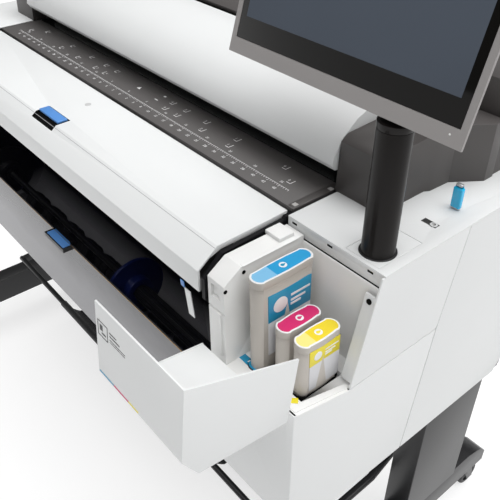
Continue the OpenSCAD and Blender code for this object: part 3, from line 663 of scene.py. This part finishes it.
def make_deck_details():
    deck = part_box("right_top_cover")[1].z
    plate = block(
        "button_plate", (0.6495, -0.0032, deck - 0.0002), (0.6745, 0.0072, deck + 0.0005), 0.0002
    )
    done(plate, MARK_BLACK, "frame")
    low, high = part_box("power_button")
    middle = (low + high) / 2
    room = 0.0017
    button = disc(
        "power_key", middle + Vector((0, 0, room / 2)), (high.x - low.x) / 2,
        high.z - low.z - room, edge=0.0006,
    )
    with Editing(button) as edit:
        edit.pick_faces(lambda spot, normal: normal.z > 0.9)
        bpy.ops.mesh.inset(thickness=0.0009)
        bpy.ops.mesh.inset(thickness=0.0002, depth=-0.0003)
    done(button, WHITE, "power_button", ["power_button"])
    dot = disc("power_mark", (middle.x, middle.y, high.z - 0.0001), 0.0011, 0.0002, edge=0.00005, sides=20)
    done(dot, MARK_GREY, "power_button")
    # painted shade: black blocks for the notches in the deck lip
    for number, x in enumerate((0.5326, 0.6027, 0.676)):
        notch = block(
            f"lip_notch_{number + 1}", (x - 0.0050, -0.1371, 0.9450), (x + 0.0050, -0.1352, 0.9490), 0.0001
        )
        done(notch, SHADE_BLACK, "frame")
    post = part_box("screen_post")
    centre = (post[0] + post[1]) / 2
    collar = disc("post_collar", (centre.x, centre.y, deck - 0.0004), 0.0257, 0.0026, edge=0.0006, sides=96)
    done(collar, BLACK_PLASTIC, "frame")


def make_stick():
    low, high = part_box("usb_stick")
    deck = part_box("right_top_cover")[1].z
    foot = deck + 0.0025
    case = block("memory_stick_case", (low.x, low.y, foot), (high.x, high.y, high.z - 0.006), 0.0022, 4)
    with Editing(case) as edit:
        edit.pick_faces(lambda spot, normal: normal.z > 0.95)
        bpy.ops.mesh.inset(thickness=0.0012)
        bpy.ops.mesh.extrude_region_move(TRANSFORM_OT_translate={"value": (0, 0, 0.0035)})
    done(case, STICK_BLUE, "usb_stick", ["usb_stick"])
    cap = block(
        "memory_stick_cap", (low.x + 0.0028, low.y + 0.0014, high.z - 0.004),
        (high.x - 0.0028, high.y - 0.0014, high.z), 0.001,
    )
    done(cap, STEEL, "usb_stick")
    plug = block(
        "memory_stick_plug", (low.x + 0.002, low.y + 0.0018, deck - 0.010),
        (high.x - 0.002, high.y - 0.0018, foot + 0.001), 0.0004,
    )
    done(plug, STEEL, "usb_stick")


# ---------------------------------------------------------------- ink

def capsule(length, width, bulge=0.10, steps=10):
    """Plan of a cartridge round its middle: two long sides that bulge a little, and round ends."""
    half = width / 2
    straight = length / 2 - half * 0.92
    right = [(half * (1 - bulge * t * t), t * straight) for t in (-1, -0.5, 0, 0.5, 1)]
    back = [
        (half * math.cos(turn), straight + half * 0.92 * math.sin(turn))
        for turn in [math.pi * i / steps for i in range(1, steps)]
    ]
    left = [(-x, y) for x, y in reversed(right)]
    front = [(-x, -y) for x, y in back]
    return right + back + left + front


def make_cartridge(colour, top, label, body):
    """Upright ink tank: fluted body, collar, white rim, coloured top with a drop mark, and a side label."""
    node = colour + "_cartridge"
    lean = 0.02
    low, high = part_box(node)
    width = high.x - low.x
    middle_x = (low.x + high.x) / 2
    height = high.z - low.z
    front, back = low.y, high.y
    plan = capsule(back - front, width)
    centre_y = (front + back) / 2
    tank = outlined(
        node + "_tank", [(middle_x + x, centre_y + y, high.z - 0.012) for x, y in plan], (0, 0, 0.0115)
    )
    with Editing(tank) as edit:
        edit.pick_faces(lambda spot, normal: normal.z > 0.9)
        bpy.ops.mesh.inset(thickness=0.0008, depth=0.0005)
        bpy.ops.mesh.inset(thickness=0.0016)
        bpy.ops.mesh.inset(thickness=0.0003, depth=-0.0004)
        edit.pick_faces(lambda spot, normal: normal.z < -0.9)
        for down, inward in [
            (0.0008, 0.0011), (0.0012, 0.0), (0.0014, -0.0007), (0.0014, 0.0007), (0.0014, -0.0007),
            (0.0014, 0.0007), (0.0014, -0.0006),
        ]:
            bpy.ops.mesh.extrude_region_move(TRANSFORM_OT_translate={"value": (0, 0, -down)})
            bpy.ops.transform.resize(
                value=(1 - 2 * inward / width, 1 - 2 * inward / (back - front), 1),
                center_override=(middle_x, centre_y, high.z),
            )
        drop = height - 0.012 - 0.009
        bpy.ops.mesh.extrude_region_move(TRANSFORM_OT_translate={"value": (0, lean * drop / 2, -drop)})
        share = 1 - lean * drop / (back - front)
        bpy.ops.transform.resize(
            value=(0.985, share, 1), center_override=(middle_x, centre_y + lean * drop / 2, low.z)
        )
    modified(tank, "BEVEL", width=0.0004, segments=2, limit_method="ANGLE", angle_limit=math.radians(50))
    smooth(tank, 30)
    done(tank, INK_BODY, body, [node])
    paint(tank, MARK_WHITE, lambda point: point.z > high.z - 0.0035)
    inset_z = high.z - 0.0003

    border = front + (back - front) * 0.33
    plate = outlined(
        node + "_top_label",
        [(middle_x + x * 0.84, centre_y + y * 0.94, inset_z - 0.0004) for x, y in plan], (0, 0, 0.0005),
    )
    finish = printed_top(node + "_top_print", top[0], top[1], border)
    done(plate, finish, body)

    spot = (middle_x, centre_y + 0.002, inset_z + 0.0002)
    ring = disc(node + "_mark", spot, 0.0058, 0.0002, edge=0.00005, sides=40)
    done(ring, MARK_WHITE, body)
    spot = (middle_x, centre_y + 0.0012, inset_z + 0.0003)
    drop_mark = disc(node + "_drop", spot, 0.0028, 0.0002, edge=0.00005, sides=28)
    with Editing(drop_mark, "VERT"):
        mesh = bmesh.from_edit_mesh(drop_mark.data)
        for corner in mesh.verts:
            rise = max(0.0, corner.co.y - centre_y - 0.0012)
            corner.co.x = middle_x + (corner.co.x - middle_x) * (1 - rise / 0.0042)
            corner.co.y += rise * 0.9
        bmesh.update_edit_mesh(drop_mark.data)
    done(drop_mark, top[2], body)

    if label:
        make_side_label(node, label, low, high, body)


def make_side_label(node, finish, low, high, body):
    """Label on the right face: a coloured block over a blank one, both slightly proud."""
    length = high.y - low.y
    height = high.z - low.z
    front = low.y + length * (0.16 if height > 0.15 else 0.145)
    back = high.y - length * 0.09
    tall = 0.0485 if height > 0.15 else 0.028
    top = high.z - (0.0285 if height > 0.15 else 0.0125)
    face = high.x - 0.0006
    for part, z_top, z_low, paint_with in [
        ("_label_block", top, top - tall, finish),
        ("_label_blank", top - tall, low.z + height * 0.28, LABEL_BLANK),
    ]:
        tab = block(node + part, (face - 0.0012, front, z_low), (face + 0.0002, back, z_top), 0.00015)
        with Editing(tab, "VERT"):
            mesh = bmesh.from_edit_mesh(tab.data)
            for corner in mesh.verts:
                corner.co.x -= (high.z - corner.co.z) / height * 0.0009
                corner.co.y += (high.z - corner.co.z) / height * 0.006
            bmesh.update_edit_mesh(tab.data)
        done(tab, paint_with, body)
    disc_mark = disc(
        node + "_label_mark", (face - 0.0003, front + length * 0.22, top - tall * 0.5), tall * 0.26, 0.0014,
        "X", edge=0.0001, sides=40,
    )
    done(disc_mark, MARK_WHITE, body)
    for row, share in enumerate((0.36, 0.56, 0.70)):
        start = front + length * 0.40
        line = block(
            f"{node}_label_line_{row + 1}",
            (face - 0.0010, start, top - tall * share - tall * 0.04),
            (face + 0.00035, start + length * (0.34 - 0.08 * row), top - tall * share + tall * 0.04),
            0.0001,
        )
        done(line, MARK_WHITE, body)


def hollowed(piece, low, high):
    """Cuts a block out of a piece."""
    cutter = block("cutter", low, high, 0.0002, 1)
    modified(piece, "BOOLEAN", object=cutter, operation="DIFFERENCE", solver="EXACT")
    bpy.data.objects.remove(cutter, do_unlink=True)
    return smooth(piece, 25)


def make_ink():
    bay = softened("right_ink_bay", 0.0010, BAY_WHITE, 2)
    hollowed(bay, (0.5265, -0.290, 0.8905), (0.5450, -0.2795, 0.9125))
    hollowed(bay, (0.510, -0.290, 0.8690), (0.5560, -0.2828, 0.8720))
    hollowed(bay, (0.5485, -0.290, 0.7900), (0.5496, -0.2828, 0.8700))
    softened("left_ink_bay", 0.0010, BAY_WHITE, 2)
    softened("left_ink_door", 0.0008, WHITE, 2)
    softened("right_ink_door", 0.0008, WHITE, 2)
    finished("left_cartridges", INK_BODY)
    make_cartridge(
        "cyan", ((0.02, 0.32, 0.62), (0.20, 0.48, 0.72), LABEL_CYAN), LABEL_CYAN, "cyan_cartridge"
    )
    magenta = (0.60, 0.015, 0.13)
    make_cartridge("magenta", (magenta, magenta, LABEL_MAGENTA), None, "magenta_cartridge")
    make_cartridge(
        "yellow", ((0.80, 0.62, 0.02), (0.85, 0.72, 0.22), LABEL_YELLOW), LABEL_YELLOW, "yellow_cartridge"
    )


def make_bay_details():
    """Steps, holes and labels of the right bay."""
    base_z = 0.775
    pad = block("tower_pad", (0.516, -0.179, 0.940), (0.5475, -0.151, 0.9475), 0.0015, 3)
    done(pad, BAY_WHITE, "frame")
    nose = block("tower_step", (0.5235, -0.2862, 0.7895), (0.5478, -0.2830, 0.8685), 0.0010, 3)
    done(nose, BAY_WHITE, "frame")
    rib = block("tower_ridge", (0.549, -0.252, 0.9395), (0.5562, -0.150, 0.9415), 0.0008, 3)
    done(rib, BAY_WHITE, "frame")
    # painted shade: black discs for the holes in the tower
    for name, y, z in [("tower_hole_upper", -0.2498, 0.9305), ("tower_hole_lower", -0.2815, 0.9125)]:
        hole = disc(name, (0.5552, y, z), 0.0030, 0.0012, "X", edge=0.0002, sides=28)
        done(hole, SHADE_BLACK, "frame")
    strip = block(
        "slot_label", (0.5515, -0.2595, base_z - 0.0002), (0.589, -0.248, base_z + 0.0004), 0.0001
    )
    done(strip, LABEL_CYAN, "frame")
    letter = block(
        "slot_label_mark", (0.569, -0.2555, base_z + 0.0002), (0.571, -0.251, base_z + 0.0006), 0.0001
    )
    done(letter, MARK_WHITE, "frame")
    diamond = disc("slot_diamond", (0.6665, -0.2525, base_z + 0.0001), 0.0068, 0.0006, edge=0.0001, sides=4)
    done(diamond, LABEL_YELLOW, "frame")
    # painted shade: black rims for the shadowed gap round each cartridge
    wells = [("cyan", 0.5835), ("magenta", 0.620), ("yellow", 0.6565)]
    for name, x in wells:
        low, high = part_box(name + "_cartridge")
        plan = capsule(high.y - low.y + 0.005, 0.0335)
        middle = (low.y + high.y) / 2 + 0.0005
        rim = outlined(
            name + "_well_rim", [(x + px, middle + py, base_z - 0.002) for px, py in plan], (0, 0, 0.0024)
        )
        with Editing(rim) as edit:
            edit.pick_faces(lambda spot, normal: normal.z > 0.9)
            bpy.ops.mesh.inset(thickness=0.0015)
            bpy.ops.mesh.extrude_region_move(TRANSFORM_OT_translate={"value": (0, 0, -0.012)})
            bpy.ops.mesh.delete(type="FACE")
            edit.pick_faces(lambda spot, normal: normal.z < -0.9)
            bpy.ops.mesh.delete(type="FACE")
        smooth(rim)
        done(rim, SHADE_BLACK, "frame")
    ledge = outlined(
        "bay_ledge",
        [
            (0.6665, -0.2675, 0.7722), (0.6872, -0.2675, 0.7722), (0.7010, -0.1815, 0.7722),
            (0.6960, -0.1815, 0.7722), (0.6810, -0.2655, 0.7722), (0.6665, -0.2655, 0.7722),
        ],
        (0, 0, 0.0016),
    )
    done(ledge, BAY_WHITE, "frame")
    stop = disc("bay_stop", (0.6895, -0.1490, 0.9116), 0.0042, 0.0030, "Y", edge=0.0006, sides=32)
    done(stop, SHADE_BLACK, "frame")
    lip_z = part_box("right_top_cover")[1].z - 0.0225
    # painted shade: a black strip for the gap under the deck lip
    gap = block("deck_lip_gap", (0.556, -0.1382, lip_z - 0.0016), (0.6968, -0.1372, lip_z + 0.0002), 0.0002)
    done(gap, SHADE_BLACK, "frame")


def make_door_details():
    """Pictogram, lines and the ink stripes on the open door's outer face."""
    top = Vector((0, -0.4485, 0.9688))
    foot = Vector((0, -0.4590, 0.8567))
    down = (foot - top).normalized()
    out = Vector((0, down.z, -down.y))

    def on_face(name, x, depth, finish, proud=0.0003):
        """Thin raised print between two places across the face and two depths down it"""
        corners = [(x[0], depth[0]), (x[1], depth[0]), (x[1], depth[1]), (x[0], depth[1])]
        start = [top + Vector((px, 0, 0)) + down * py - out * 0.0002 for px, py in corners]
        tab = outlined(name, start, out * (proud + 0.0002))
        with Editing(tab, "EDGE"):
            bpy.ops.mesh.select_all(action="SELECT")
            bpy.ops.mesh.bevel(offset=0.00008, segments=1, affect="EDGES")
        return done(tab, finish, "right_ink_door")

    left, high, size, line = 0.5245, 0.024, 0.022, 0.0012
    for name, x, depth in [
        ("pictogram_top", (left, left + size), (high, high + line)),
        ("pictogram_foot", (left, left + size), (high + size, high + size + line)),
        ("pictogram_left", (left, left + line), (high, high + size)),
        ("pictogram_right", (left + size, left + size + line), (high, high + size + line)),
        ("pictogram_sheet", (left + 0.005, left + 0.0115), (high + 0.005, high + 0.0135)),
        ("pictogram_tray", (left + 0.009, left + 0.0185), (high + 0.0155, high + 0.0180)),
        ("note_line_1", (0.552, 0.5675), (0.0275, 0.0292)),
        ("note_line_2", (0.552, 0.5745), (0.0325, 0.0342)),
        ("note_line_3", (0.552, 0.5860), (0.0385, 0.0396)),
        ("note_line_4", (0.552, 0.5860), (0.0420, 0.0428)),
    ]:
        on_face(name, x, depth, MARK_BLACK)
    for name, x, finish in [
        ("stripe_cyan", (0.522, 0.556), LABEL_CYAN), ("stripe_magenta", (0.556, 0.590), LABEL_MAGENTA),
        ("stripe_yellow", (0.590, 0.612), LABEL_YELLOW),
    ]:
        on_face(name, x, (0.1085, 0.1115), finish)


# ---------------------------------------------------------------- front covers and the roll

def make_front():
    cover = softened("roll_cover", 0.0012, WHITE, 3)
    # painted shade: the walls of the latch pocket in the white cover made black
    paint(cover, SHADE_BLACK, inside((-0.0505, -0.2745, 0.925), (0.0365, -0.2240, 0.9512)))
    mark = disc("cover_mark", (-0.005, -0.170, 0.9511), 0.0062, 0.0005, edge=0.0001, sides=40)
    done(mark, MARK_PALE, "roll_cover")
    seam = outlined(
        "cover_seam",
        [(-0.5055, -0.2592, 0.94645), (-0.5055, -0.2600, 0.94583), (-0.5055, -0.2597, 0.94640)],
        (1.011, 0, 0),
    )
    done(seam, SEAM_GREY, "roll_cover")
    softened("cover_latch", 0.0012, LATCH_BLUE, 3)
    window = softened("roll_window", 0.0004, SMOKED, 1)
    paint(window, BLACK_PLASTIC, inside((-0.0490, -0.2912, 0.670), (0.0350, -0.2610, 0.6995)))
    guide = outlined(
        "window_guide",
        [(0.468, -0.2843, 0.816), (0.482, -0.2843, 0.816), (0.482, -0.2893, 0.869), (0.468, -0.2893, 0.869)],
        (0, 0.0015, 0),
    )
    done(guide, WHITE, "roll_window")
    tip = outlined(
        "window_guide_tip",
        [(0.460, -0.2893, 0.869), (0.468, -0.2893, 0.869), (0.468, -0.2903, 0.880), (0.460, -0.2903, 0.880)],
        (0, 0.0015, 0),
    )
    done(tip, LATCH_BLUE, "roll_window")
    softened("window_latch", 0.0012, LATCH_BLUE, 3)
    # the smoked lower panel carries painted shade at its top
    softened("lower_front_panel", 0.0006, SMOKED_PANEL_PAINTED_SHADE, 1)
    # painted highlight: a bronze strip for the bright line along the window's foot
    strip = block("window_foot_strip", (-0.505, -0.2722, 0.6878), (0.505, -0.2712, 0.6890), 0.0002)
    done(strip, HIGHLIGHT_STRIP, "frame")
    softened("roll_spindle", 0.002, BLACK_PLASTIC)
    hubs = softened("roll_hubs", 0.002, HUB_NAVY, 3)
    paint(hubs, BLACK_PLASTIC, lambda point: point.x < 0)
    softened("support_rollers", 0.0015, RUBBER, 2)
    make_flutes(10)


def make_flutes(count):
    """Long ridges round the thick right end of the spindle."""
    wide, tall, long = 0.004, 0.0035, 0.28
    flutes = []
    for step in range(count):
        angle = math.tau * step / count
        out = Vector((0, math.cos(angle), math.sin(angle)))
        side = Vector((0, -out.z, out.y))
        start = Vector((0.172, -0.200, 0.615)) + out * 0.0145 - side * wide / 2
        corners = [start, start + side * wide, start + side * wide + out * tall, start + out * tall]
        flute = outlined(f"flute_{step}", corners, (long, 0, 0))
        flutes.append(modified(flute, "BEVEL", width=0.0006, segments=1))
    done(joined("spindle_flutes", flutes), BLACK_PLASTIC, "spindle")


# ---------------------------------------------------------------- scanner

def tray_print():
    """Number rows, ruler ticks and page-size marks, as thin print on the tray."""
    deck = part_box("scan_tray")[1].z
    bits = []

    def dash(x, y, wide, deep):
        tab_low = (x - wide / 2, y - deep / 2, deck - 0.0001)
        tab_high = (x + wide / 2, y + deep / 2, deck + 0.0001)
        bits.append(block("dash", tab_low, tab_high, 0.00002, 1))
        return bits[-1]

    def repeated(tab, count, step):
        shift = {"use_relative_offset": False, "use_constant_offset": True}
        modified(tab, "ARRAY", count=count, constant_offset_displace=(step, 0, 0), **shift)

    def number(value, x, y, size):
        bpy.ops.object.text_add(location=(x, y, deck))
        word = bpy.context.object
        word.data.body = str(value)
        word.data.size = size
        word.data.align_x = "CENTER"
        word.data.extrude = 0.0001
        word.data.resolution_u = 2
        bpy.ops.object.convert(target="MESH")
        only(word)
        bpy.ops.object.transform_apply(location=True, rotation=True, scale=True)
        bits.append(word)

    for step in range(-18, 19):
        number(abs(round(step * 2.5)), step * 0.025, -0.1062, 0.0078)
    for step in range(-7, 8):
        number(abs(step) * 5, step * 0.0635, -0.0850, 0.0070)
    repeated(dash(-0.4700, -0.0930, 0.0007, 0.0034), 189, 0.005)
    repeated(dash(-0.4500, -0.0940, 0.0009, 0.0060), 37, 0.025)
    dash(0, -0.0912, 0.94, 0.0006)
    inch_sheets = (0.1143, 0.1524, 0.2286, 0.3048, 0.4572)
    metric_sheets = (0.105, 0.1485, 0.210, 0.297, 0.4205)
    for rows, y in [(inch_sheets, -0.0715), (metric_sheets, -0.0475)]:
        for index, place in enumerate(rows):
            for side in (-1, 1):
                dash(side * (place - 0.0040), y - 0.0055, 0.0090, 0.0013)
                dash(side * place, y, 0.0013, 0.0120)
                number(len(rows) - 1 - index, side * (place - 0.0085), y - 0.0015, 0.0075)
    dash(0.067, -0.0636, 0.0100, 0.0022)
    dash(0.067, -0.0433, 0.0060, 0.0040)
    return joined("tray_print", bits)


def make_scanner():
    softened("scan_tray", 0.0006, TRAY_GREY)
    finished("scan_bar", STRIP_GLASS)
    finished("scan_roller", ROLLER_WHITE)
    softened("scan_hood", 0.0018, WHITE, 4, angle=28)
    softened("scan_end_caps", 0.0045, CAP_GREY, 4)
    softened("stacker", 0.004, CAP_GREY, 3)
    done(tray_print(), MARK_WHITE, "frame")
    centre = disc("tray_centre_mark", (0, -0.0590, 0.9550), 0.0060, 0.0003, edge=0.00005, sides=3)
    done(centre, MARK_WHITE, "frame")
    for name, x, y in [("tray_pad_front", 0.5055, -0.1110), ("tray_pad_rear", 0.5085, -0.0400)]:
        pad = block(name, (x - 0.0045, y - 0.004, 0.9549), (x + 0.0035, y + 0.004, 0.9556), 0.0003)
        done(pad, MARK_GREY, "frame")
    edge = block("tray_end_strip", (0.4985, -0.1200, 0.9549), (0.5112, -0.0215, 0.9553), 0.0002)
    done(edge, CAP_GREY, "frame")


# ---------------------------------------------------------------- touch screen

def make_screen():
    softened("screen_post", 0.0008, POST_PAINT, 2)
    softened("screen_neck", 0.0015, POST_PAINT, 3)
    softened("screen_housing", 0.0022, BEZEL_GREY, 4)
    softened("screen_glass", 0.0003, SCREEN_BLACK, 2)
    lean = math.radians(17)
    foot = Vector((0.566, -0.1245, 1.152))
    up = Vector((0, math.sin(lean), math.cos(lean)))
    out = Vector((0, -math.cos(lean), math.sin(lean)))

    def on_screen(name, x, rise, depth, thickness, finish):
        """Thin sheet in the plane of the glass, sunk by its depth"""
        corners = [(x[0], rise[0]), (x[1], rise[0]), (x[1], rise[1]), (x[0], rise[1])]
        start = [foot + Vector((px, 0, 0)) + up * pz - out * depth for px, pz in corners]
        tab = outlined(name, start, out * thickness)
        with Editing(tab, "EDGE"):
            bpy.ops.mesh.select_all(action="SELECT")
            bpy.ops.mesh.bevel(offset=thickness / 4, segments=1, affect="EDGES")
        return done(tab, finish, "screen")

    # the display carries a painted glow that grows towards its top
    on_screen("screen_display", (-0.173, 0.173), (0.051, 0.219), 0.0004, 0.0001, DISPLAY)
    spot = foot + Vector((0.175, 0, 0)) + up * 0.0125
    lamp = disc("screen_lamp", spot, 0.0013, 0.0006, "Y", edge=0.0001, sides=20)
    done(lamp, MARK_WHITE, "screen")


make_stage()
make_stand()
for end in ("front", "rear"):
    for side in ("left", "right"):
        make_caster(side, end)
make_basket()
make_housing()
make_deck_details()
make_stick()
make_ink()
make_bay_details()
make_door_details()
make_front()
make_scanner()
make_screen()
